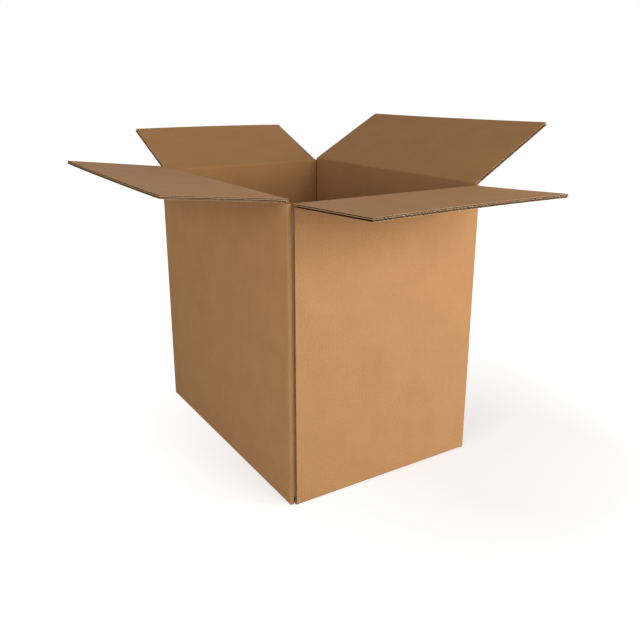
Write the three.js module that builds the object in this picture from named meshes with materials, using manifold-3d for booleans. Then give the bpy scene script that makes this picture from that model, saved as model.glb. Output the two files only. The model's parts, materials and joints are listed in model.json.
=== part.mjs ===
// A tall slotted carton of double-wall corrugated board, standing with its four top flaps open.
// The blank is one folded and glued piece, and each top flap is a mesh of its own, on its hinge line.
// Millimetres, +Z up. The origin is the middle of the base, on the surface that the carton stands on.
import * as THREE from "three";
import { mergeVertices } from "three/addons/utils/BufferGeometryUtils.js";
import Module from "manifold-3d";

const wasm = await Module();
wasm.setup();

// The outside of the folded carton
const WIDTH = 445; // along X, the short side
const LENGTH = 620; // along Y, the long side
const HEIGHT = 590; // from the floor to the hinge lines of the long flaps
const FOLD_RADIUS = 4; // outside of every closed fold
const FOLD_STEPS = 4; // flat faces round each outside fold

// The board: three liners, with a coarse flute on the outside and a fine one on the inside
const LINER = 0.3;
const COARSE = { height: 3.6, pitch: 7.8 };
const FINE = { height: 2.5, pitch: 6.5 };
const BOARD = 3 * LINER + COARSE.height + FINE.height;
const FLUTE_WALL = 0.3; // paper of a flute, measured at its crest
const CHANNEL_DEPTH = 14; // how far an open flute is followed into a free edge
const SIDE_GROOVE = 3; // how far a flute that runs along a cut edge lies open

// The folds inside the corners: a pressed line that parts the two faces
const CREASE_HALF_WIDTH = 2.5;
const CREASE_DEPTH = 1.2;

// The slots between the flaps, and the corner where the blank is glued
const SLOT_WIDTH = 9; // cut out round each corner fold
const SLOT_RUN = 1; // how far a slot is cut past the folds of the long flaps
const SLOT_END_GAP = 0.5; // between a pressed hinge and the raw board beside it
const JOINT_OPENING = 10.5; // from the corner to the cut edge of the front wall
const LAP_WIDTH = 38; // the tongue of the left wall, glued inside the front wall
const LAP_SLOPE = Math.tan(THREE.MathUtils.degToRad(15)); // its two ends are cut back
const LAP_GAP = 0.8; // between the tongue's ends and the flaps that close on them

// The flaps
const SEAM_GAP = 1; // between the two long flaps when they are closed
const BOTTOM_SEAM_SHIFT = 1; // the bottom seam lies this far right of the middle
const STACK_GAP = 0.3; // between a short flap and the long flap that closes on it
const MITRE_GAP = 0.3; // between the two pressed faces of a closed hinge
const FLAP_DEPTH = (WIDTH - SEAM_GAP) / 2;

// The glue that holds the closed bottom: dabs between its short and long flaps
const GLUE_THICKNESS = 0.4;
const GLUE_WIDTH = 12;
const GLUE_DABS = 4; // on each short flap
const GLUE_MARGIN = 40; // from a flap's edges to its glue
const GLUE_BITE = 0.1; // how far a dab soaks into the liners

// Degrees that each top flap leans outwards from upright
const LEAN_ANGLE = { front: 87.3, right: 59.5, back: 67.6, left: 83.5 };

const EPSILON = 0.5; // how far a cutter stands out of what it cuts
const SHORT_HINGE = HEIGHT - BOARD - STACK_GAP;
const SHORT_BOTTOM = BOARD + GLUE_THICKNESS;
const SLOT_INSET = (BOARD + SLOT_WIDTH) / 2; // from a corner to the side edge of a flap
const MITRE_DROP = MITRE_GAP / Math.SQRT2; // from a hinge line to the start of its pressed face
const RIGHT_ANGLE = Math.PI / 2;

// The four walls, each in a frame of its own that is turned about Z from the front wall's: x runs along the
// wall, y runs inwards from its outer face and z is up. start and end are the insets of its flaps' side edges.
const WALLS = {
  front: {
    turn: 0,
    reach: LENGTH / 2,
    half: WIDTH / 2,
    start: JOINT_OPENING,
    end: SLOT_INSET,
    bottom: SHORT_BOTTOM,
    hinge: SHORT_HINGE,
    bottomDepth: FLAP_DEPTH,
  },
  right: {
    turn: RIGHT_ANGLE,
    reach: WIDTH / 2,
    half: LENGTH / 2,
    start: SLOT_INSET,
    end: SLOT_INSET,
    bottom: 0,
    hinge: HEIGHT,
    bottomDepth: FLAP_DEPTH - BOTTOM_SEAM_SHIFT,
  },
  back: {
    turn: 2 * RIGHT_ANGLE,
    reach: LENGTH / 2,
    half: WIDTH / 2,
    start: SLOT_INSET,
    end: SLOT_INSET,
    bottom: SHORT_BOTTOM,
    hinge: SHORT_HINGE,
    bottomDepth: FLAP_DEPTH,
  },
  left: {
    turn: 3 * RIGHT_ANGLE,
    reach: WIDTH / 2,
    half: LENGTH / 2,
    start: SLOT_INSET,
    end: BOARD + SLOT_INSET,
    bottom: 0,
    hinge: HEIGHT,
    bottomDepth: FLAP_DEPTH + BOTTOM_SEAM_SHIFT,
  },
};

// The directions that an outline's x and y and its draw take
const X = new THREE.Vector3(1, 0, 0);
const Y = new THREE.Vector3(0, 1, 0);
const Z = new THREE.Vector3(0, 0, 1);
const PLAN = [X, Y, Z];
const SECTION = [Y, Z, X]; // across a wall, drawn along it
const ELEVATION = [X, Z, Y.clone().negate()]; // seen from the front, drawn forwards

// The closed solid of a geometry.
function solid(geometry) {
  const bare = geometry.index ? geometry : geometry.clone();
  bare.deleteAttribute("normal");
  bare.deleteAttribute("uv");
  const merged = mergeVertices(bare);
  return new wasm.Manifold(
    new wasm.Mesh({
      numProp: 3,
      vertProperties: merged.attributes.position.array,
      triVerts: new Uint32Array(merged.index.array),
    }),
  );
}

// The mesh of a solid.
function mesh(name, made, colour) {
  const { vertProperties, triVerts } = made.getMesh();
  const geometry = new THREE.BufferGeometry();
  geometry.setAttribute("position", new THREE.BufferAttribute(vertProperties, 3));
  geometry.setIndex(new THREE.BufferAttribute(triVerts, 1));
  geometry.computeVertexNormals();
  const material = new THREE.MeshStandardMaterial({ color: colour, roughness: 0.9, metalness: 0 });
  const part = new THREE.Mesh(geometry, material);
  part.name = name;
  return part;
}

function outline(points) {
  return new THREE.Shape(points.map(([x, y]) => new THREE.Vector2(x, y)));
}

// A shape drawn from one place to another along the third of its axes.
function drawn(shape, from, to, axes) {
  const geometry = new THREE.ExtrudeGeometry(shape, {
    depth: to - from,
    bevelEnabled: false,
    curveSegments: FOLD_STEPS,
  });
  geometry.translate(0, 0, from);
  geometry.applyMatrix4(new THREE.Matrix4().makeBasis(...axes));
  return solid(geometry);
}

function block(low, high) {
  const [x, y, z] = low.map((v, i) => high[i] - v);
  const geometry = new THREE.BoxGeometry(x, y, z);
  geometry.translate(...low.map((v, i) => (v + high[i]) / 2));
  return solid(geometry);
}

// A solid in a wall's frame, put in its place on the carton.
function placed(made, wall) {
  const matrix = new THREE.Matrix4()
    .makeRotationZ(wall.turn)
    .multiply(new THREE.Matrix4().makeTranslation(0, -wall.reach, 0));
  return made.transform(matrix.elements);
}

function union(solids) {
  return solids.reduce((all, one) => all.add(one));
}

// The two flute layers through the board, from its outer face inwards.
const LAYERS = [
  { ...COARSE, floor: LINER },
  { ...FINE, floor: 2 * LINER + COARSE.height },
];

// Open flutes in the free edge of a flap: in each layer a row of channels below the fluted paper and a row
// above it, each a triangle at the edge that runs out to a point inside the board.
function openFlutes(from, to, edge) {
  const corners = [];
  const faces = [];
  const grow = (CHANNEL_DEPTH + EPSILON) / CHANNEL_DEPTH;
  function channel(x, halfWidth, base, crest) {
    const tip = new THREE.Vector3(x, (2 * base + crest) / 3, edge - CHANNEL_DEPTH);
    const mouth = [
      new THREE.Vector3(x - halfWidth, base, edge),
      new THREE.Vector3(x + halfWidth, base, edge),
      new THREE.Vector3(x, crest, edge),
    ].map((corner) => corner.sub(tip).multiplyScalar(grow).add(tip));
    if (crest < base) mouth.reverse();
    const first = corners.length / 3;
    [tip, ...mouth].forEach((corner) => corners.push(...corner.toArray()));
    faces.push(...[0, 2, 1, 0, 3, 2, 0, 1, 3, 1, 2, 3].map((i) => first + i));
  }
  for (const { height, pitch, floor } of LAYERS) {
    const count = Math.floor((to - from - pitch / 2) / pitch);
    const halfWidth = pitch / 2 - FLUTE_WALL;
    const ceiling = floor + height;
    for (let i = 0; i < count; i++) {
      const x = (from + to) / 2 + (i - (count - 0.5) / 2) * pitch;
      channel(x, halfWidth, floor, ceiling - FLUTE_WALL);
      channel(x + pitch / 2, halfWidth, ceiling, floor + FLUTE_WALL);
    }
  }
  const geometry = new THREE.BufferGeometry();
  geometry.setAttribute("position", new THREE.Float32BufferAttribute(corners, 3));
  geometry.setIndex(faces);
  return solid(geometry);
}

// How far along x the flutes lie open at a cut edge, with the board to the inner side of x.
function grooveEnds(x, inner) {
  return [x - inner * EPSILON, x + inner * SIDE_GROOVE].sort((a, b) => a - b);
}

// Flutes laid open along a cut edge of an upright board, from low to high in z.
function edgeGrooves(x, inner, low, high, outerFace = 0) {
  const [from, to] = grooveEnds(x, inner);
  return LAYERS.map(({ height, floor }) =>
    block([from, outerFace + floor, low], [to, outerFace + floor + height, high]),
  );
}

// A top flap, upright on its hinge line: its outer face is y = 0, and its foot is pressed to a 45° face.
function topFlap(wall) {
  const from = -wall.half + wall.start;
  const to = wall.half - wall.end;
  const section = outline([
    [0, MITRE_DROP],
    [BOARD, BOARD + MITRE_DROP],
    [BOARD, FLAP_DEPTH],
    [0, FLAP_DEPTH],
  ]);
  const foot = BOARD + CREASE_HALF_WIDTH;
  const grooves = [
    ...edgeGrooves(from, 1, foot, FLAP_DEPTH - CHANNEL_DEPTH),
    ...edgeGrooves(to, -1, foot, FLAP_DEPTH - CHANNEL_DEPTH),
  ];
  return drawn(section, from, to, SECTION)
    .subtract(union(grooves))
    .subtract(openFlutes(from + SIDE_GROOVE, to - SIDE_GROOVE, FLAP_DEPTH));
}

// A pressed line in the inner side of a closed fold, as the three points that replace the corner (x, y).
// dx and dy say on which side of the corner the open room lies.
function crease(x, y, dx, dy) {
  return [
    [x + dx * CREASE_HALF_WIDTH, y],
    [x - dx * CREASE_DEPTH, y - dy * CREASE_DEPTH],
    [x, y + dy * CREASE_HALF_WIDTH],
  ];
}

// The wall between two slots, from its bottom flap to its hinge line, in the wall's frame.
function panel(wall) {
  const { bottom, hinge, bottomDepth } = wall;
  const shape = new THREE.Shape();
  shape.moveTo(0, hinge - MITRE_DROP);
  shape.lineTo(0, bottom + FOLD_RADIUS);
  shape.absarc(FOLD_RADIUS, bottom + FOLD_RADIUS, FOLD_RADIUS, Math.PI, 3 * RIGHT_ANGLE);
  shape.lineTo(bottomDepth, bottom);
  shape.lineTo(bottomDepth, bottom + BOARD);
  crease(BOARD, bottom + BOARD, 1, 1).forEach(([y, z]) => shape.lineTo(y, z));
  shape.lineTo(BOARD, hinge - MITRE_DROP - BOARD);
  return drawn(shape, -wall.half + wall.start, wall.half - wall.end, SECTION);
}

// What is taken off the strip of walls between two slots: the pressing of the hinge and all above it, and
// the board below the fold of the bottom flap.
function panelCuts(wall) {
  const rise = BOARD + EPSILON;
  const above = outline([
    [-EPSILON, wall.hinge - MITRE_DROP + EPSILON],
    [rise, wall.hinge - MITRE_DROP - rise],
    [rise, HEIGHT + EPSILON],
    [-EPSILON, HEIGHT + EPSILON],
  ]);
  const from = -wall.half + wall.start - SLOT_END_GAP;
  const to = wall.half - wall.end + SLOT_END_GAP;
  const below = block([from, -EPSILON, 0], [to, rise, wall.bottom + FOLD_RADIUS]);
  return [drawn(above, from, to, SECTION), below];
}

// The standing board between the slots' ends, as one strip folded at three corners and cut at the fourth.
function strip() {
  const x = WIDTH / 2;
  const y = LENGTH / 2;
  const r = FOLD_RADIUS;
  const inX = x - BOARD;
  const inY = y - BOARD;
  const shape = new THREE.Shape();
  shape.moveTo(-x + JOINT_OPENING, -y);
  shape.lineTo(x - r, -y);
  shape.absarc(x - r, -y + r, r, -RIGHT_ANGLE, 0);
  shape.lineTo(x, y - r);
  shape.absarc(x - r, y - r, r, 0, RIGHT_ANGLE);
  shape.lineTo(-x + r, y);
  shape.absarc(-x + r, y - r, r, RIGHT_ANGLE, Math.PI);
  shape.lineTo(-x, -inY + r);
  shape.absarc(-x + r, -inY + r, r, Math.PI, 3 * RIGHT_ANGLE);
  shape.lineTo(-inX, -inY);
  const inside = [
    ...crease(-inX, inY, 1, -1).reverse(),
    ...crease(inX, inY, -1, -1),
    ...crease(inX, -inY, -1, 1).reverse(),
    [-x + JOINT_OPENING, -inY],
  ];
  inside.forEach(([px, py]) => shape.lineTo(px, py));
  return drawn(shape, SLOT_RUN, HEIGHT - SLOT_RUN, PLAN);
}

// The glued tongue: it goes on from the left wall, inside the front wall, and its ends slope away.
function lap() {
  const from = -WIDTH / 2 + FOLD_RADIUS;
  const to = -WIDTH / 2 + BOARD + LAP_WIDTH;
  const low = SHORT_BOTTOM + BOARD + LAP_GAP;
  const high = SHORT_HINGE - BOARD - LAP_GAP;
  const fall = (to - from) * LAP_SLOPE;
  const shape = outline([
    [from, low],
    [to, low + fall],
    [to, high - fall],
    [from, high],
  ]);
  const innerFace = -LENGTH / 2 + 2 * BOARD;
  return drawn(shape, -innerFace, -innerFace + BOARD, ELEVATION).subtract(
    union(edgeGrooves(to, -1, low, high, innerFace - BOARD)),
  );
}

// The dabs of glue between one short bottom flap and the long flaps under it, in the wall's frame.
function glue(wall) {
  const from = -wall.half + wall.start + GLUE_MARGIN;
  const step = (2 * wall.half - wall.start - wall.end - 2 * GLUE_MARGIN) / (GLUE_DABS - 1);
  return Array.from({ length: GLUE_DABS }, (_, i) => {
    const x = from + i * step;
    return block(
      [x - GLUE_WIDTH / 2, GLUE_MARGIN, BOARD - GLUE_BITE],
      [x + GLUE_WIDTH / 2, wall.bottomDepth - GLUE_MARGIN, SHORT_BOTTOM + GLUE_BITE],
    );
  });
}

// The open flutes along the side edges of a bottom flap, in the wall's frame.
function bottomGrooves(wall) {
  const foot = BOARD + CREASE_HALF_WIDTH;
  return [
    [-wall.half + wall.start, 1],
    [wall.half - wall.end, -1],
  ].flatMap(([x, inner]) =>
    LAYERS.map(({ height, floor }) => {
      const [from, to] = grooveEnds(x, inner);
      return block(
        [from, foot, wall.bottom + floor],
        [to, wall.bottomDepth + EPSILON, wall.bottom + floor + height],
      );
    }),
  );
}

// The whole blank under the top flaps: four walls, the tongue and the closed bottom.
function cartonBody() {
  const walls = Object.values(WALLS);
  const cuts = walls.flatMap((wall) => panelCuts(wall).map((cut) => placed(cut, wall)));
  const panels = walls.map((wall) => placed(panel(wall), wall));
  const dabs = [WALLS.front, WALLS.back].flatMap((wall) => glue(wall).map((dab) => placed(dab, wall)));
  const grooves = walls.flatMap((wall) => bottomGrooves(wall).map((groove) => placed(groove, wall)));
  const front = WALLS.front;
  const cutEdge = edgeGrooves(-front.half + front.start, 1, 0, HEIGHT).map((groove) => placed(groove, front));
  return strip()
    .subtract(union(cuts))
    .add(union(panels))
    .subtract(union([...grooves, ...cutEdge]))
    .add(lap())
    .add(union(dabs));
}

// The outsides of the walls catch the light, and the flaps show their duller insides.
const KRAFT = { body: 0xa67d52, flap: 0x93704a };

const carton = new THREE.Group();
carton.add(mesh("carton_body", cartonBody(), KRAFT.body));

for (const [side, wall] of Object.entries(WALLS)) {
  const aroundCarton = new THREE.Group();
  aroundCarton.rotation.z = wall.turn;
  const hinge = new THREE.Group();
  hinge.position.set(0, -wall.reach, wall.hinge);
  hinge.rotation.x = THREE.MathUtils.degToRad(LEAN_ANGLE[side]);
  hinge.add(mesh(side + "_flap", topFlap(wall), KRAFT.flap));
  aroundCarton.add(hinge);
  carton.add(aroundCarton);
}

export default carton;
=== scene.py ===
# A tall slotted carton of brown double-wall corrugated board, with its four top flaps open.
# Every board is built ply by ply: three liners with a coarse and a fine fluted paper between them.
# The board's lengths are in millimetres. The floor's, the lights' and the camera's are in metres.
import json
import math

import bpy
import numpy as np
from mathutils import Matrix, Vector

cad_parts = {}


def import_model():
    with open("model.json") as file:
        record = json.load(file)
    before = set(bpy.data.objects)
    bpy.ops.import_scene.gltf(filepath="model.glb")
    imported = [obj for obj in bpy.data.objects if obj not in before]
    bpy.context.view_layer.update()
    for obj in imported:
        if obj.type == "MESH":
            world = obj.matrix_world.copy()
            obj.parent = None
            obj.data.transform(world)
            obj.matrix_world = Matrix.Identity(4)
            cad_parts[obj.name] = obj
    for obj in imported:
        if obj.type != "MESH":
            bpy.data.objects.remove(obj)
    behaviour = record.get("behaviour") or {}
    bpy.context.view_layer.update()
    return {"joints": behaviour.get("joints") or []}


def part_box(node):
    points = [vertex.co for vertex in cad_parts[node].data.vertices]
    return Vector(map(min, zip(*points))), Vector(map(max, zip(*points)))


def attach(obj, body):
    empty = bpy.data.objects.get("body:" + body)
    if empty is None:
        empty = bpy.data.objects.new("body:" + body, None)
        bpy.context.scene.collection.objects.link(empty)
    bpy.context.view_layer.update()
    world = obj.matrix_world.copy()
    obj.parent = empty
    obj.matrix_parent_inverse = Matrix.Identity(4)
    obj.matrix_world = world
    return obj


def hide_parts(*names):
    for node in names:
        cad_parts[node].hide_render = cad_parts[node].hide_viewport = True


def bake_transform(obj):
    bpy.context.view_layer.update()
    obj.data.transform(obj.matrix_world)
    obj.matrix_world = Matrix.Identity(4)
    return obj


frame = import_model()
MM = 0.001

# The board
LINER = 0.4
COARSE_HEIGHT = 3.4
COARSE_PITCH = 7.8
FINE_HEIGHT = 2.4
FINE_PITCH = 6.5
BOARD = 3 * LINER + COARSE_HEIGHT + FINE_HEIGHT
FLUTE_PAPER = 0.42
GLUE_LINE = 0.03  # between the tip of a flute and its liner
WAVE_STEPS = 4  # columns of points in one flute
FLAT_PITCH = 8 * COARSE_PITCH  # the middle liner has no waves, and so fewer columns
WASHBOARD = 0.03  # how far a liner sinks between two flutes, halved
RAGGED = 0.22  # unevenness of a cut edge

# The folds
FOLD_RADIUS = 4
FOLD_REACH = 8  # from a corner to where its fold begins, which is also where its slot does
FOLD_STEPS = 8
FOLD_PRESS = 2.4  # how deep the line inside a corner is pressed
HINGE_REACH = 12  # how far up and down from a hinge line the board bends
HINGE_ROWS = (-1, -0.5, -0.3, -0.16, -0.07, -0.02, 0.02, 0.07, 0.16, 0.3, 0.5, 1)
HINGE_PRESS = 0.07  # share of the thickness that its pressed line takes
HINGE_LINE = 0.05  # half the width of that line, as a share of HINGE_REACH

# The blank
SIDES = ("front", "right", "back", "left")
JOINT_OPENING = 10.5  # from the glued corner to the front wall's cut edge
LAP_WIDTH = 38
LAP_LOW = 15.2
LAP_HIGH = 574.9
LAP_SLOPE = math.tan(math.radians(15))
SLOT_RUN = 1  # from the folds of the long flaps to the ends of the slots
SLOT_STEP = 0.1  # width of the step beside a slot
FLAP_BOTTOM = {"front": 7.4, "right": 0, "back": 7.4, "left": 0}
FOLD_BOTTOM = {"front": 1.4, "right": 0, "back": 1.4, "left": 0}  # the short walls' folds hang lower
BOTTOM_DEPTH = {"front": 222, "right": 221, "back": 222, "left": 223}

JOINTS = {joint["child"]: joint for joint in frame["joints"]}
HINGE = {side: JOINTS[side]["pos_m"][2] / MM for side in SIDES}
LEAN = {side: math.radians(-JOINTS[side]["range_deg"][0] - 90) for side in SIDES}
TURN = {side: index * math.pi / 2 for index, side in enumerate(SIDES)}
HALF_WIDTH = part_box("carton_body")[1].x / MM
HALF_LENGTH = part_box("carton_body")[1].y / MM
REACH = {"front": HALF_LENGTH, "right": HALF_WIDTH, "back": HALF_LENGTH, "left": HALF_WIDTH}
FLAP_DEPTH = HALF_WIDTH - 0.5
SLOT_HIGH = HINGE["right"] - SLOT_RUN
TONGUE_RUN = 4  # the tongue follows the four walls
POST_RUN = -1  # a post between two slots belongs to no wall

# Places in a board that a mesh's faces can belong to, in the order of its material slots
# FLUTE faces look into the flutes' cavities, and their material's dark tone is painted shade
OUTSIDE, INSIDE, FLUTE, CUT = range(4)
SHARP_ANGLE = math.radians(38)  # edges between faces that turn more than this look cut


def smooth(edge, full, value):
    """A soft step from 0 at edge to 1 at full."""
    t = np.clip((value - edge) / (full - edge), 0, 1)
    return t * t * (3 - 2 * t)


def fold(corner, came, goes):
    """The outer and the inner line of a closed fold, and the distance of each point along the outer one."""
    corner, came, goes = (np.array(value, float) for value in (corner, came, goes))
    angles = np.linspace(0, math.pi / 2, FOLD_STEPS + 1)[:, None]
    centre = corner + FOLD_RADIUS * (goes - came)
    arc = centre + FOLD_RADIUS * (np.sin(angles) * came - np.cos(angles) * goes)
    outer = np.vstack([corner - FOLD_REACH * came, arc, corner + FOLD_REACH * goes])
    steps = np.hypot(*np.diff(outer, axis=0).T)
    along = np.concatenate([[0], np.cumsum(steps)])
    inner_corner = corner + BOARD * (goes - came)
    run = FOLD_REACH - BOARD
    crease = np.array(
        [
            inner_corner - run * came,
            inner_corner + FOLD_PRESS * (came - goes),
            inner_corner + run * goes,
        ]
    )
    share = along / along[-1]
    inner = np.column_stack([np.interp(share, [0, 0.5, 1], crease[:, axis]) for axis in (0, 1)])
    return outer, inner, along


def wall_plan():
    """The plan of the standing blank, from the front wall's cut edge round to the end of the tongue.

    Gives the distance along the outer face, the outer and inner points there, and where each straight
    run begins and ends: the four walls in their order, and the tongue.
    """
    x, y = HALF_WIDTH, HALF_LENGTH
    ways = np.array([(1, 0), (0, 1), (-1, 0), (0, -1), (1, 0)])
    start = np.array([-x + JOINT_OPENING, -y])
    corners = [(x, -y), (x, y), (-x, y), (-x, -y + BOARD)]
    end = np.array([-x + BOARD + LAP_WIDTH, -y + BOARD])
    distance, outer, inner, runs = [0.0], [start], [start + BOARD * np.array([0, 1])], []
    for corner, came, goes in zip(corners, ways[:-1], ways[1:]):
        fold_outer, fold_inner, along = fold(corner, came, goes)
        first = distance[-1] + np.hypot(*(fold_outer[0] - outer[-1]))
        runs.append((distance[-1], first))
        distance.extend(first + along)
        outer.extend(fold_outer)
        inner.extend(fold_inner)
    last = distance[-1] + np.hypot(*(end - outer[-1]))
    runs.append((distance[-1], last))
    distance.append(last)
    outer.append(end)
    inner.append(end + BOARD * np.array([0, 1]))
    return np.array(distance), np.array(outer), np.array(inner), runs


DISTANCE, OUTER, INNER, RUNS = wall_plan()


def wave_columns(run, pitch):
    """Places along a straight run of board, a few for each flute."""
    step = pitch / WAVE_STEPS
    first, last = run
    inside = np.arange(math.ceil(first / step + 0.2), math.floor(last / step - 0.2) + 1) * step
    return np.concatenate([[first], inside, [last]])


def unevenness(along, seed):
    """A cut edge's small waviness, from -1 to 1."""
    waves = ((0.31, 1.0), (0.83, 0.7), (1.9, 0.6), (0.047, 0.8))
    total = sum(size * np.sin(along * rate * 2 + seed * (3 + rate)) for rate, size in waves)
    return total / sum(size for _, size in waves)


BOW_BORDERS = (0.25, 0.2)  # shares of a panel's width and height over which its bow sets in


def bow(along, up, seed):
    """The slow hollows and bulges of a big panel, from -1 to 1 and nothing at its borders (0 and 1)."""
    beside, above = BOW_BORDERS
    edge = smooth(0, beside, along) * smooth(0, beside, 1 - along)
    edge = edge * smooth(0, above, up) * smooth(0, above, 1 - up)
    slow = np.sin(3.1 * along + 1.7 * seed) + 0.7 * np.sin(4.3 * up + seed)
    slow = slow + 0.5 * np.sin(6 * along + 5 * up)
    return edge * slow / 2.2  # the three waves' sizes together


def sheet_layers():
    """The five plies by name: wave pitch, outer and inner surface as functions, and kinds of face."""

    def flute(floor, height, pitch):
        middle = floor + height / 2
        swing = height / 2 - FLUTE_PAPER / 2 - GLUE_LINE

        def line(side):
            return lambda u: middle + swing * np.sin(2 * math.pi * u / pitch) + side * FLUTE_PAPER / 2

        return line(-1), line(1)

    def level(height):
        return lambda u: 0 * u + height

    def outer_face(u):
        return WASHBOARD * (1 + np.sin(2 * math.pi * u / COARSE_PITCH))

    def inner_face(u):
        return BOARD - WASHBOARD * (1 - np.sin(2 * math.pi * u / FINE_PITCH))

    middle = LINER + COARSE_HEIGHT
    fine_floor = middle + LINER
    coarse = flute(LINER, COARSE_HEIGHT, COARSE_PITCH)
    fine = flute(fine_floor, FINE_HEIGHT, FINE_PITCH)
    hidden = (FLUTE, FLUTE, CUT)
    return {
        "outer_liner": (COARSE_PITCH, outer_face, level(LINER), (OUTSIDE, FLUTE, CUT)),
        "coarse_flutes": (COARSE_PITCH, *coarse, hidden),
        "middle_liner": (FLAT_PITCH, level(middle), level(fine_floor), hidden),
        "fine_flutes": (FINE_PITCH, *fine, hidden),
        "inner_liner": (FINE_PITCH, level(BOARD - LINER), inner_face, (FLUTE, INSIDE, CUT)),
    }


LAYERS = sheet_layers()


def shell(low, high, keep, kinds, board):
    """A closed sheet between two grids of points, with a face wherever keep says so.

    kinds are the places that its low, high and cut faces belong to, and board is each point's place in
    the flat blank.
    """
    across, up = keep.shape
    index = np.arange((across + 1) * (up + 1)).reshape(across + 1, up + 1)
    second = index.size
    padded = np.pad(keep, 1)
    corner = [index[:-1, :-1], index[1:, :-1], index[1:, 1:], index[:-1, 1:]]
    neighbour = [padded[1:-1, :-2], padded[2:, 1:-1], padded[1:-1, 2:], padded[:-2, 1:-1]]
    kept = [ring[keep] for ring in corner]
    faces = [np.column_stack(kept), np.column_stack(kept[::-1]) + second]
    slots = [np.full(len(kept[0]), kinds[0]), np.full(len(kept[0]), kinds[1])]
    for side in range(4):
        bare = keep & ~neighbour[side]
        p, q = corner[side][bare], corner[(side + 1) % 4][bare]
        faces.append(np.column_stack([q, p, p + second, q + second]))
        slots.append(np.full(len(p), kinds[2]))
    faces = np.vstack(faces)
    points = np.vstack([low.reshape(-1, 3), high.reshape(-1, 3)])
    flat = np.vstack([board.reshape(-1, 3), board.reshape(-1, 3)])
    used, faces = np.unique(faces, return_inverse=True)
    return points[used], faces.reshape(-1, 4), np.concatenate(slots), flat[used]


def board_piece(name, sheets, node, body, materials):
    """One object out of closed sheets, which stands for its CAD node and moves with its body."""
    offset, points, faces, slots, flats = 0, [], [], [], []
    for sheet_points, sheet_faces, sheet_slots, flat in sheets:
        points.append(sheet_points)
        faces.append(sheet_faces + offset)
        slots.append(sheet_slots)
        flats.append(flat)
        offset += len(sheet_points)
    mesh = bpy.data.meshes.new(name)
    mesh.from_pydata((np.vstack(points) * MM).tolist(), [], np.vstack(faces).tolist())
    mesh.polygons.foreach_set("material_index", np.concatenate(slots).astype(np.int32))
    place = mesh.attributes.new("board", "FLOAT_VECTOR", "POINT")
    place.data.foreach_set("vector", (np.vstack(flats) * MM).astype(np.float32).ravel())
    for material in materials:
        mesh.materials.append(material)
    mesh.shade_smooth()
    mesh.set_sharp_from_angle(angle=SHARP_ANGLE)
    piece = bpy.data.objects.new(name, mesh)
    bpy.context.scene.collection.objects.link(piece)
    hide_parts(node)
    if body:
        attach(piece, body)
    return piece


# The carton under its flaps: one grid of points for the whole blank

FLAP_ROWS = 4
LOW_FOLD_ROWS = 7
HIGH_FOLD_ROWS = 6
WALL_ROWS = 10
POST_ROWS = 3
SLOT_ROW = FLAP_ROWS + LOW_FOLD_ROWS - 2
HINGE_ROW = SLOT_ROW + HIGH_FOLD_ROWS + WALL_ROWS - 2
POST_ROW = HINGE_ROW + POST_ROWS - 1


def side_profile(side):
    """The rows of points up one side, from its bottom flap's free edge to its hinge, and on up to the
    slots' ends.

    Gives each row's distance inwards and its height, on the outer and on the inner surface.
    """
    bottom, depth = FOLD_BOTTOM[side], BOTTOM_DEPTH[side]
    outer, inner, along = fold((0, bottom), (-1, 0), (0, 1))
    slot = np.interp(bottom + SLOT_RUN, outer[1:, 1], along[1:])
    rows = np.concatenate(
        [np.linspace(0, slot, LOW_FOLD_ROWS), np.linspace(slot, along[-1], HIGH_FOLD_ROWS)[1:]]
    )
    flap = np.linspace(depth, 2 * FOLD_REACH, FLAP_ROWS - 1)
    hinge_start = HINGE[side] - HINGE_REACH
    walls = np.linspace(bottom + FOLD_REACH, hinge_start, WALL_ROWS)[1:]
    posts = np.linspace(hinge_start, SLOT_HIGH, POST_ROWS)[1:]
    up = np.concatenate([walls, posts])

    def rows_of(line, thickness):
        flap_up = 0 * flap + FLAP_BOTTOM[side] + thickness
        inwards = np.concatenate([flap, np.interp(rows, along, line[:, 0]), 0 * up + thickness])
        return inwards, np.concatenate([flap_up, np.interp(rows, along, line[:, 1]), up])

    return np.stack([*rows_of(outer, 0), *rows_of(inner, BOARD)])


def blank_columns(pitch):
    """Places along the whole blank, the side whose rows each of them takes, and the run that it stands on.

    A post between two slots takes the rows of the long side beside it.
    """
    places, sides, kinds = [], [], []
    for index, run in enumerate(RUNS):
        inside = wave_columns(run, pitch)
        side = min(index, 3)
        places.append(inside)
        sides.append(np.full(len(inside), side))
        kinds.append(np.full(len(inside), index))
        if index + 1 < len(RUNS):
            following = RUNS[index + 1][0]
            knots = DISTANCE[(DISTANCE > run[1] + SLOT_STEP) & (DISTANCE < following - SLOT_STEP)]
            places.append(np.concatenate([[run[1] + SLOT_STEP], knots, [following - SLOT_STEP]]))
            long_side = side if side % 2 else side + 1
            sides.append(np.full(len(knots) + 2, long_side))
            kinds.append(np.full(len(knots) + 2, POST_RUN))
    return np.concatenate(places), np.concatenate(sides), np.concatenate(kinds)


PROFILES = np.stack([side_profile(side) for side in SIDES])
WALL_BOW = np.array([0.5, -0.5, 0.7, -0.6])  # in the order of SIDES
WALL_BOW_SEED = 1.3  # sets one wall's bow apart from the next one's


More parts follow.
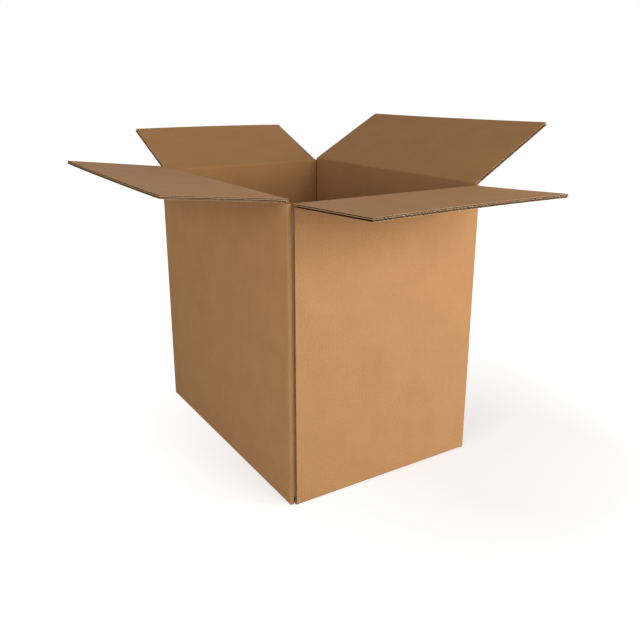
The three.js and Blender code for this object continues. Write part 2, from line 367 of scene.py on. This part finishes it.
def blank_sheet(layer):
    """One ply of the standing blank, with its closed bottom and its tongue."""
    pitch, low_line, high_line, kinds = LAYERS[layer]
    u, side, run = blank_columns(pitch)
    in_outer, up_outer, in_inner, up_inner = np.moveaxis(PROFILES[side], 1, 0)
    is_panel = ((run >= 0) & (run < TONGUE_RUN))[:, None]
    tongue = (run == TONGUE_RUN)[:, None]
    past_fold = np.clip(u - RUNS[TONGUE_RUN][0], 0, None)[:, None]
    fall = (past_fold + FOLD_REACH - FOLD_RADIUS) * LAP_SLOPE
    rise = (up_outer - SLOT_RUN) / (SLOT_HIGH - SLOT_RUN)
    on_tongue = LAP_LOW + fall + rise * (LAP_HIGH - LAP_LOW - 2 * fall)
    outer = np.column_stack([np.interp(u, DISTANCE, OUTER[:, axis]) for axis in (0, 1)])
    inner = np.column_stack([np.interp(u, DISTANCE, INNER[:, axis]) for axis in (0, 1)])
    first, last = (np.array([RUNS[max(index, 0)][end] for index in run]) for end in (0, 1))
    share = ((u - first) / (last - first))[:, None]
    seed = WALL_BOW_SEED * run[:, None]
    bulge = bow(share, up_outer / HINGE["right"], seed) * WALL_BOW[side][:, None]
    on_wall = np.arange(up_outer.shape[1]) >= SLOT_ROW
    bulge = np.where(is_panel & on_wall, bulge, 0)
    is_tongue_row = np.where(tongue, 1.0, 0.0)

    def surface(line):
        f = line(u)[:, None] / BOARD
        inwards = in_outer + (in_inner - in_outer) * f + bulge
        inwards = np.where(tongue, BOARD * f, inwards)
        up = up_outer + (up_inner - up_outer) * f
        up = up * (1 - is_tongue_row) + on_tongue * is_tongue_row
        flat = outer[:, None, :] + (inner - outer)[:, None, :] * (inwards / BOARD)[:, :, None]
        return np.concatenate([flat, up[:, :, None]], axis=2)

    cells = np.where(run[:-1] == run[1:], run[1:], POST_RUN)[:, None]
    rows = np.arange(up_outer.shape[1] - 1)[None, :]
    in_slot = (rows >= SLOT_ROW) & (rows < POST_ROW)
    keep = np.where((cells >= 0) & (cells < TONGUE_RUN), rows < HINGE_ROW, in_slot)
    below = np.where(on_wall, 0, in_outer)
    board = np.stack([u[:, None] + 0 * up_outer, up_outer - below, 0 * up_outer], axis=2)
    return shell(surface(low_line), surface(high_line), keep, kinds, board)


# The top flaps

FLAP_PLACES = (HINGE_REACH, 26, 55, 95, 135, 175, 205, 214, 218, 220.5, FLAP_DEPTH)
FLAP_BOW = {"front": 1.4, "right": -1.6, "back": 1.7, "left": -1.3}
FLAP_TWIST = {"front": 0.9, "right": -0.8, "back": 0.7, "left": -1.0}
CUT_BACK = 1.6  # how far the middle plies are crushed back at a flap's side edges
EDGE_SETS_IN = 8  # a free edge is a little crushed over this depth
EDGE_CRUSH = 0.05


def on_carton(side, x, y, z):
    """Points of one side's own frame (along it, inwards from its outer face, up) in the carton's."""
    turn = TURN[side]
    x, y, z = np.broadcast_arrays(x, y - REACH[side], z)
    return np.stack(
        [x * math.cos(turn) - y * math.sin(turn), x * math.sin(turn) + y * math.cos(turn), z], axis=2
    )


def flap_points(side, u, out, across):
    """Points of a top flap, from places along and out from its hinge line and across its board."""
    first, last = RUNS[SIDES.index(side)]
    share = (u - first) / (last - first)
    reach = np.clip((out - HINGE_REACH) / (FLAP_DEPTH - HINGE_REACH), 0, 1)
    bent = FLAP_BOW[side] * share * (1 - share) * 4 + FLAP_TWIST[side] * share
    across = across + bent * reach**2
    lean = LEAN[side]
    y = across * math.cos(lean) - out * math.sin(lean)
    z = across * math.sin(lean) + out * math.cos(lean) + HINGE[side]
    return on_carton(side, flap_ends(side)[0] + (u - first), y, z)


def flap_ends(side):
    """Where a flap begins and ends along its wall, seen from outside, from left to right."""
    corners = np.array([list(corner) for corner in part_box(side + "_flap")])[:, :2] / MM
    turn = TURN[side]
    along = corners @ np.array([math.cos(turn), math.sin(turn)])
    return along.min(), along.max()


def flap_sheet(side, layer):
    """One ply of a top flap, from where its hinge stops bending to its free edge."""
    pitch, low_line, high_line, kinds = LAYERS[layer]
    run = RUNS[SIDES.index(side)]
    back = CUT_BACK if kinds[0] == kinds[1] else 0
    u = wave_columns((run[0] + back, run[1] - back), pitch)[:, None]
    out = np.array(FLAP_PLACES)[None, :]
    seed = SIDES.index(side) + len(layer)
    out = out + RAGGED * unevenness(u, seed) * (out > FLAP_DEPTH - 1)
    at_edge = smooth(FLAP_DEPTH - EDGE_SETS_IN, FLAP_DEPTH, out) * (1 + unevenness(u, seed))
    near_end = 1 - smooth(0, EDGE_SETS_IN, np.minimum(u - run[0], run[1] - u))
    from_hinge = smooth(HINGE_REACH, 2 * HINGE_REACH, out)
    left = 1 - EDGE_CRUSH * (at_edge + near_end * from_hinge)
    middle = BOARD / 2 * (1 - left)
    low = flap_points(side, u, out, low_line(u) * left + middle)
    high = flap_points(side, u, out, high_line(u) * left + middle)
    keep = np.ones((len(u) - 1, out.shape[1] - 1), bool)
    board = np.stack([u + 0 * out, HINGE[side] + out, 0 * out], axis=2)
    return shell(low, high, keep, kinds, board)


def hinge_sheet(side, layer):
    """One ply of the board that bends at a hinge line, from the wall below it to the flap.

    Its outer face turns on the hinge line itself, and its inner face runs on to a crisp pressed line.
    """
    pitch, low_line, high_line, kinds = LAYERS[layer]
    run = RUNS[SIDES.index(side)]
    u = wave_columns(run, pitch)[:, None]
    t = np.array(HINGE_ROWS)[None, :]
    down, out = np.minimum(t, 0), np.maximum(t, 0)
    lean = LEAN[side]
    corner = BOARD * math.tan(lean / 2)
    outer_in = -HINGE_REACH * out * math.sin(lean)
    outer_up = HINGE_REACH * (down + out * math.cos(lean))
    inner_out = (HINGE_REACH + corner) * out
    inner_in = BOARD - inner_out * math.sin(lean)
    inner_up = corner + (HINGE_REACH + corner) * down + inner_out * math.cos(lean)
    left = 1 - HINGE_PRESS * np.exp(-((t / HINGE_LINE) ** 2))

    def surface(line):
        f = line(u) / BOARD * left
        inwards = outer_in + (inner_in - outer_in) * f
        up = outer_up + (inner_up - outer_up) * f + HINGE[side]
        return on_carton(side, flap_ends(side)[0] + (u - run[0]), inwards, up)

    keep = np.ones((len(u) - 1, t.shape[1] - 1), bool)
    board = np.stack([u + 0 * t, HINGE[side] + HINGE_REACH * t + 0 * u, 0 * (u + t)], axis=2)
    return shell(surface(low_line), surface(high_line), keep, kinds, board)


def hinge_board(side, materials):
    """The bending board of one hinge, which joins its wall to its flap at the flap's lean."""
    sheets = [hinge_sheet(side, layer) for layer in LAYERS]
    piece = board_piece(side + "_hinge_board", sheets, side + "_flap", None, materials)
    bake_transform(piece)


# Shader node helpers


class Shading:
    """A node tree with short ways to add nodes and links."""

    def __init__(self, tree):
        self.tree = tree

    def node(self, kind, **values):
        made = self.tree.nodes.new(kind)
        for name, value in values.items():
            setattr(made, name, value)
        return made

    def feed(self, socket, value):
        if isinstance(value, bpy.types.NodeSocket):
            self.tree.links.new(value, socket)
        else:
            socket.default_value = value

    def maths(self, operation, *values):
        made = self.node("ShaderNodeMath", operation=operation)
        for socket, value in zip(made.inputs, values):
            self.feed(socket, value)
        return made.outputs[0]

    def ranged(self, value, low, high, to_low=0.0, to_high=1.0):
        made = self.node("ShaderNodeMapRange")
        for socket, given in zip(made.inputs, (value, low, high, to_low, to_high)):
            self.feed(socket, given)
        return made.outputs[0]

    def mixed(self, share, first, second):
        made = self.node("ShaderNodeMix", data_type="RGBA")
        self.feed(made.inputs[0], share)
        self.feed(made.inputs[6], first)
        self.feed(made.inputs[7], second)
        return made.outputs[2]

    def stretched(self, vector, scale):
        made = self.node("ShaderNodeMapping")
        self.feed(made.inputs["Vector"], vector)
        made.inputs["Scale"].default_value = scale
        return made.outputs[0]

    def noise(self, vector, scale, detail=3.0, roughness=0.55):
        made = self.node("ShaderNodeTexNoise")
        self.feed(made.inputs["Vector"], vector)
        self.feed(made.inputs["Scale"], scale)
        made.inputs["Detail"].default_value = detail
        made.inputs["Roughness"].default_value = roughness
        return made.outputs["Fac"]

    def group(self, group, **values):
        made = self.node("ShaderNodeGroup", node_tree=group)
        for name, value in values.items():
            self.feed(made.inputs[name.replace("_", " ")], value)
        return made


def new_group(name, inputs, outputs):
    """A node group with named sockets: inputs are (name, kind, value) and outputs are names of numbers."""
    group = bpy.data.node_groups.new(name, "ShaderNodeTree")
    for socket, kind, value in inputs:
        made = group.interface.new_socket(socket, in_out="INPUT", socket_type="NodeSocket" + kind)
        if value is not None:
            made.default_value = value
    for socket in outputs:
        group.interface.new_socket(socket, in_out="OUTPUT", socket_type="NodeSocketFloat")
    shading = Shading(group)
    return group, shading, shading.node("NodeGroupInput").outputs, shading.node("NodeGroupOutput").inputs


def paper_fibre_group():
    """Kraft paper: cloudy tone, fine mottling, short fibres that lie across the flutes, and dark flecks."""
    group, shading, given, out = new_group(
        "paper fibre",
        [("Place", "Vector", None), ("Cloud Size", "Float", 0.06), ("Fleck Amount", "Float", 0.5)],
        ["Cloud", "Mottle", "Fibre", "Fleck"],
    )
    place = given["Place"]
    cloud_scale = shading.maths("DIVIDE", 1.0, given["Cloud Size"])
    shading.feed(out["Cloud"], shading.ranged(shading.noise(place, cloud_scale, 2.0), 0.3, 0.7))
    mottling = shading.noise(shading.stretched(place, (190.0, 330.0, 190.0)), 1.0, 5.0, 0.68)
    shading.feed(out["Mottle"], shading.ranged(mottling, 0.34, 0.66))
    fibres = shading.noise(shading.stretched(place, (160.0, 900.0, 160.0)), 1.0, 3.0, 0.6)
    shading.feed(out["Fibre"], shading.ranged(fibres, 0.3, 0.7))
    flecks = shading.noise(shading.stretched(place, (350.0, 620.0, 350.0)), 1.0, 2.0, 0.4)
    seen = shading.ranged(flecks, 0.66, 0.74)
    shading.feed(out["Fleck"], shading.maths("MULTIPLY", seen, given["Fleck Amount"]))
    return group


def washboard_group():
    """The stripes that flutes leave on a liner: 1 over a flute's tip and 0 between two tips."""
    group, shading, given, out = new_group(
        "washboard",
        [("Place", "Vector", None), ("Pitch", "Float", 0.0078), ("Phase", "Float", 0.0)],
        ["Stripe"],
    )
    split = shading.node("ShaderNodeSeparateXYZ")
    shading.feed(split.inputs[0], given["Place"])
    turns = shading.maths("DIVIDE", split.outputs[0], given["Pitch"])
    angle = shading.maths("ADD", shading.maths("MULTIPLY", turns, 2 * math.pi), given["Phase"])
    wave = shading.maths("MULTIPLY", shading.maths("SINE", angle), 0.5)
    drift = shading.noise(shading.stretched(given["Place"], (70.0, 6.0, 1.0)), 1.0, 2.0)
    strength = shading.ranged(drift, 0.35, 0.65, 0.45, 1.0)
    shading.feed(out["Stripe"], shading.maths("ADD", shading.maths("MULTIPLY", wave, strength), 0.5))
    return group


def handling_group():
    """Faint rubbed and soiled patches: 1 is rubbed pale, 0 is soiled dark and 0.5 is clean."""
    group, shading, given, out = new_group(
        "handling marks",
        [("Place", "Vector", None), ("Amount", "Float", 0.5)],
        ["Marks"],
    )
    broad = shading.noise(shading.stretched(given["Place"], (14.0, 7.0, 1.0)), 1.0, 5.0, 0.62)
    fine = shading.noise(shading.stretched(given["Place"], (120.0, 18.0, 1.0)), 1.0, 4.0, 0.6)
    broad_part = shading.maths("MULTIPLY", broad, 0.65)
    fine_part = shading.maths("MULTIPLY", fine, 0.35)
    centred = shading.ranged(shading.maths("ADD", broad_part, fine_part), 0.35, 0.65, -0.5, 0.5)
    marks = shading.maths("MULTIPLY", centred, given["Amount"])
    shading.feed(out["Marks"], shading.maths("ADD", marks, 0.5))
    return group


PAPER_FIBRE = paper_fibre_group()
WASHBOARD_STRIPES = washboard_group()
HANDLING_MARKS = handling_group()


PAPER_GLOSS = 0.06  # specular level of unfinished kraft paper
ROUGHNESS_SPREAD = 0.06  # up and down from a paper's roughness, with its mottling
FIBRE_STRENGTH = 0.35
FIBRE_HEIGHT = 0.1 * MM
CLOUD_SHARE, MOTTLE_SHARE, FIBRE_SHARE, MARKS_SHARE = 0.3, 0.52, 0.24, 0.5  # of the tone
TONE_RANGE = (0.34, 1.2)  # the sums of those shares that give the dark and the pale tone
FLECK_TONE = (0.55, 0.5, 0.45)  # how dark a fleck is, as shares of the dark tone


def board_material(name, pale, dark, roughness, pitch=0.0, phase=0.0, stripe=0.0, marks=0.35):
    """Kraft paper between a pale and a dark tone.

    stripe is how much the flutes show through in its tone, and marks how much it was handled.
    """
    material = bpy.data.materials.new(name)
    material.use_nodes = True
    material.node_tree.nodes.clear()
    shading = Shading(material.node_tree)
    place = shading.node("ShaderNodeAttribute", attribute_name="board").outputs["Vector"]
    fibre = shading.group(PAPER_FIBRE, Place=place, Cloud_Size=0.07, Fleck_Amount=0.5).outputs
    handled = shading.group(HANDLING_MARKS, Place=place, Amount=marks).outputs["Marks"]
    tone = shading.maths("MULTIPLY", fibre["Cloud"], CLOUD_SHARE)
    shares = ((fibre["Mottle"], MOTTLE_SHARE), (fibre["Fibre"], FIBRE_SHARE), (handled, MARKS_SHARE))
    for value, weight in shares:
        tone = shading.maths("ADD", tone, shading.maths("MULTIPLY", value, weight))
    height = shading.maths("ADD", shading.maths("MULTIPLY", fibre["Mottle"], 0.5), fibre["Fibre"])
    if stripe:
        stripes = shading.group(WASHBOARD_STRIPES, Place=place, Pitch=pitch, Phase=phase).outputs["Stripe"]
        tone = shading.maths("ADD", tone, shading.maths("MULTIPLY", stripes, stripe))
    tone = shading.ranged(tone, TONE_RANGE[0], TONE_RANGE[1] + stripe)
    colour = shading.mixed(tone, (*dark, 1), (*pale, 1))
    fleck = [channel * share for channel, share in zip(dark, FLECK_TONE)]
    colour = shading.mixed(fibre["Fleck"], colour, (*fleck, 1))
    bump = shading.node("ShaderNodeBump")
    bump.inputs["Strength"].default_value = FIBRE_STRENGTH
    bump.inputs["Distance"].default_value = FIBRE_HEIGHT
    shading.feed(bump.inputs["Height"], height)
    surface = shading.node("ShaderNodeBsdfPrincipled")
    shading.feed(surface.inputs["Base Color"], colour)
    smoothest, roughest = roughness - ROUGHNESS_SPREAD, roughness + ROUGHNESS_SPREAD
    uneven = shading.ranged(fibre["Mottle"], 0.0, 1.0, smoothest, roughest)
    shading.feed(surface.inputs["Roughness"], uneven)
    surface.inputs["Specular IOR Level"].default_value = PAPER_GLOSS
    shading.feed(surface.inputs["Normal"], bump.outputs[0])
    output = shading.node("ShaderNodeOutputMaterial")
    shading.feed(output.inputs["Surface"], surface.outputs[0])
    return material


def board_materials():
    """The four materials, in the order of OUTSIDE, INSIDE, FLUTE (painted shade) and CUT (partly a painted
    highlight).
    """
    coarse, fine = COARSE_PITCH * MM, FINE_PITCH * MM
    outside = {"pitch": coarse, "phase": math.pi, "stripe": 0.11}
    inside = {"pitch": fine, "stripe": 0.14}
    return [
        board_material("kraft_outside", (0.545, 0.292, 0.128), (0.44, 0.226, 0.092), 0.72, **outside),
        board_material("kraft_inside", (0.50, 0.262, 0.108), (0.40, 0.2, 0.076), 0.62, **inside),
        # painted shade: the flutes' cavities are drawn dark, though the flute paper is kraft like the
        # liners
        board_material("flute_paper_painted_shade", (0.15, 0.064, 0.022), (0.085, 0.035, 0.011), 0.9, marks=0.2),
        # the cut edges' pale tone is partly the paler fuzz of cut fibres and partly a painted highlight
        # along the edges
        board_material("cut_edge_fuzz_and_painted_highlight", (0.82, 0.56, 0.33), (0.6, 0.36, 0.18), 0.9, marks=0.6),
    ]


def build_carton():
    """The standing blank in four pieces, and each top flap with the board that bends at its hinge."""
    materials = board_materials()
    plies = {
        "carton_outer_liner": ("outer_liner",),
        "carton_coarse_flutes": ("coarse_flutes", "middle_liner"),
        "carton_fine_flutes": ("fine_flutes",),
        "carton_inner_liner": ("inner_liner",),
    }
    for name, layers in plies.items():
        board_piece(name, [blank_sheet(layer) for layer in layers], "carton_body", "carton", materials)
    for side in SIDES:
        sheets = [flap_sheet(side, layer) for layer in LAYERS]
        board_piece(side + "_flap_board", sheets, side + "_flap", side, materials)
        hinge_board(side, materials)


# Floor, light and camera

FLOOR_SIZE = 14.0
FLOOR_WHITE = 0.6
FLOOR_GLOW = (0.42, 0.86)  # where the lamps are brightest on it, and away from there
FLOOR_GLOW_CENTRE = (0.3, -0.42, 0)
FLOOR_GLOW_REACH = (0.2, 1.0)
WORLD_LIGHT = 0.29
LAMPS = {
    "near_right": {"place": (1.65, -1.7, 0.95), "aim": (0.0, -0.31, 0.35), "size": 0.9, "power": 31},
    "front": {"place": (0.7, -2.6, 1.4), "aim": (0.0, 0.0, 0.4), "size": 1.1, "power": 24},
    "left": {"place": (-2.4, -1.3, 1.05), "aim": (0.0, 0.0, 0.35), "size": 1.4, "power": 25},
}
CAMERA_PLACE = (-0.8005, -1.3204, 0.7802)
CAMERA_YAW = 31.941  # degrees from +Y towards +X
CAMERA_PITCH = 16.485  # degrees below the horizon
SENSOR = 36.0
IMAGE = 640
FOCAL_PIXELS = 691.61
CENTRE_PIXEL = (315.24, 291.44)


def camera_only(shading):
    """1 for rays that show the background: from the camera, in gloss and through glass."""
    path = shading.node("ShaderNodeLightPath").outputs
    seen = shading.maths("MAXIMUM", path["Is Camera Ray"], path["Is Glossy Ray"])
    return shading.maths("MAXIMUM", seen, path["Is Transmission Ray"])


def floor():
    """A pale floor that takes the carton's shadow and is seen almost white around it."""
    half = FLOOR_SIZE / 2
    mesh = bpy.data.meshes.new("floor")
    corners = [(-half, -half, 0), (half, -half, 0), (half, half, 0), (-half, half, 0)]
    mesh.from_pydata(corners, [], [(0, 1, 2, 3)])
    material = bpy.data.materials.new("pale_floor")
    material.use_nodes = True
    material.node_tree.nodes.clear()
    shading = Shading(material.node_tree)
    diffuse = shading.node("ShaderNodeBsdfDiffuse")
    diffuse.inputs["Color"].default_value = (FLOOR_WHITE, FLOOR_WHITE, FLOOR_WHITE, 1)
    away = shading.node("ShaderNodeVectorMath", operation="DISTANCE")
    shading.feed(away.inputs[0], shading.node("ShaderNodeTexCoord").outputs["Object"])
    shading.feed(away.inputs[1], FLOOR_GLOW_CENTRE)
    strength = shading.ranged(away.outputs["Value"], *FLOOR_GLOW_REACH, *FLOOR_GLOW)
    glow = shading.node("ShaderNodeEmission")
    shading.feed(glow.inputs["Strength"], shading.maths("MULTIPLY", camera_only(shading), strength))
    both = shading.node("ShaderNodeAddShader")
    shading.feed(both.inputs[0], diffuse.outputs[0])
    shading.feed(both.inputs[1], glow.outputs[0])
    output = shading.node("ShaderNodeOutputMaterial")
    shading.feed(output.inputs["Surface"], both.outputs[0])
    mesh.materials.append(material)
    made = bpy.data.objects.new("floor", mesh)
    bpy.context.scene.collection.objects.link(made)


def world():
    """Soft light from all round, seen as white."""
    made = bpy.data.worlds.new("studio")
    bpy.context.scene.world = made
    made.use_nodes = True
    made.node_tree.nodes.clear()
    shading = Shading(made.node_tree)
    light = shading.node("ShaderNodeBackground")
    light.inputs["Strength"].default_value = WORLD_LIGHT
    light.inputs["Color"].default_value = (1, 1, 1, 1)
    white = shading.node("ShaderNodeBackground")
    white.inputs["Color"].default_value = (1, 1, 1, 1)
    mix = shading.node("ShaderNodeMixShader")
    shading.feed(mix.inputs[0], camera_only(shading))
    shading.feed(mix.inputs[1], light.outputs[0])
    shading.feed(mix.inputs[2], white.outputs[0])
    output = shading.node("ShaderNodeOutputWorld")
    shading.feed(output.inputs["Surface"], mix.outputs[0])


def aimed(made, place, target):
    made.location = place
    made.rotation_euler = (Vector(target) - Vector(place)).to_track_quat("-Z", "Y").to_euler()


def lamp(name, settings):
    data = bpy.data.lights.new(name, "AREA")
    data.size = settings["size"]
    data.energy = settings["power"]
    made = bpy.data.objects.new(name, data)
    bpy.context.scene.collection.objects.link(made)
    aimed(made, settings["place"], settings["aim"])


def camera():
    data = bpy.data.cameras.new("camera")
    data.sensor_width = SENSOR
    data.lens = FOCAL_PIXELS / IMAGE * SENSOR
    data.shift_x = (IMAGE / 2 - CENTRE_PIXEL[0]) / IMAGE
    data.shift_y = (CENTRE_PIXEL[1] - IMAGE / 2) / IMAGE
    made = bpy.data.objects.new("camera", data)
    made.location = CAMERA_PLACE
    made.rotation_euler = (math.radians(90 - CAMERA_PITCH), 0, math.radians(-CAMERA_YAW))
    bpy.context.scene.collection.objects.link(made)
    bpy.context.scene.camera = made


camera()
floor()
world()
for lamp_name, lamp_settings in LAMPS.items():
    lamp(lamp_name + "_lamp", lamp_settings)
build_carton()
bpy.context.scene.view_settings.view_transform = "Standard"
